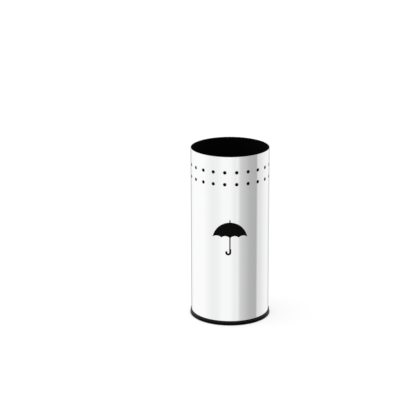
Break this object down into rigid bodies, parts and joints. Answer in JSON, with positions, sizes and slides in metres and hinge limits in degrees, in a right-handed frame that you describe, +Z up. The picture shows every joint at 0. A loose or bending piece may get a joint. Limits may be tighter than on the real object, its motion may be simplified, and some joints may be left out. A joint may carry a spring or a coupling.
{
  "type": "umbrella stand",
  "caption": "Floor-standing round stainless umbrella stand with perforated bands, a black liner, a moulded plastic base and a lift-out water tray.",
  "frame": {"origin": "middle of the footprint, on the floor", "axes": "+Z up along the tube's axis; the emblem faces -Y; +X is to the right of someone who faces the emblem"},
  "size_m": [0.23, 0.23, 0.5],
  "materials": {
    "stainless": "polished sheet with a very fine grain that runs round the tube",
    "liner": "matt black sheet",
    "base_plastic": "fine moulded grain",
    "tray_plastic": "smooth moulded",
    "emblem_vinyl": "satin cut vinyl",
    "pad_rubber": "matt"
  },
  "bodies": {
    "stand": {"outer_shell": "stainless", "inner_liner": "liner", "plastic_base": "base_plastic", "umbrella_emblem": "emblem_vinyl", "foot_pad_1": "pad_rubber", "foot_pad_2": "pad_rubber", "foot_pad_3": "pad_rubber", "foot_pad_4": "pad_rubber"},
    "tray": {"water_tray": "tray_plastic"}
  },
  "joints": [
    {"name": "tray_lift", "type": "slide", "parent": "stand", "child": "tray", "axis": [0, 0, 1], "range_m": [0, 0.51]}
  ]
}
